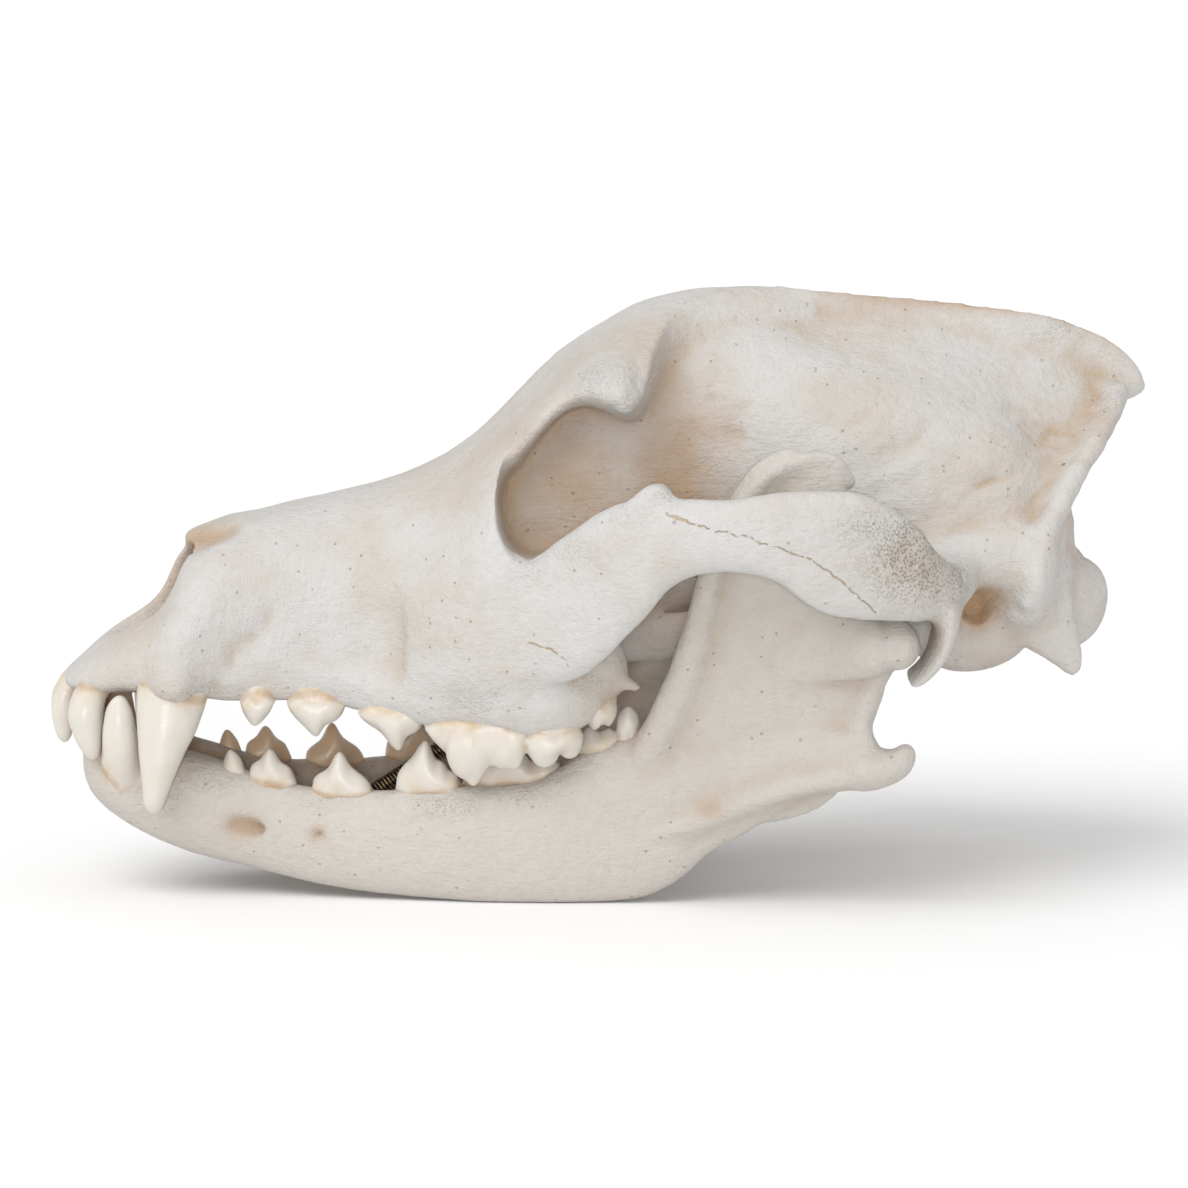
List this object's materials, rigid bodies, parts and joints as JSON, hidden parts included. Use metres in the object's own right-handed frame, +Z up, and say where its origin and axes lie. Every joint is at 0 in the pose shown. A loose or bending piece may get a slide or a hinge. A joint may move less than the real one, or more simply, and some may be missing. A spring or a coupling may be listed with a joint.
{
  "type": "dog skull",
  "caption": "Life-size skull of a large dog with its lower jaws and teeth, closed and resting on the jaws' lower edges as a still museum model.",
  "frame": {"origin": "on the table under the middle of the skull's bounding box, where Z is 0", "axes": "-X towards the nose, +X towards the back of the head, -Y towards the skull's left side, which faces the viewer, +Z up"},
  "size_m": [0.2304, 0.1171, 0.1267],
  "materials": {
    "bone": "matt bleached bone",
    "steel": "dark oxidised spring wire"
  },
  "bodies": {
    "root": {"braincase": "bone", "frontal_bone": "bone", "occipital_bone": "bone", "upper_jaw": "bone", "zygomatic_arch_left": "bone", "zygomatic_arch_right": "bone", "mandible_left": "bone", "mandible_right": "bone", "jaw_spring": "steel"}
  },
  "joints": []
}
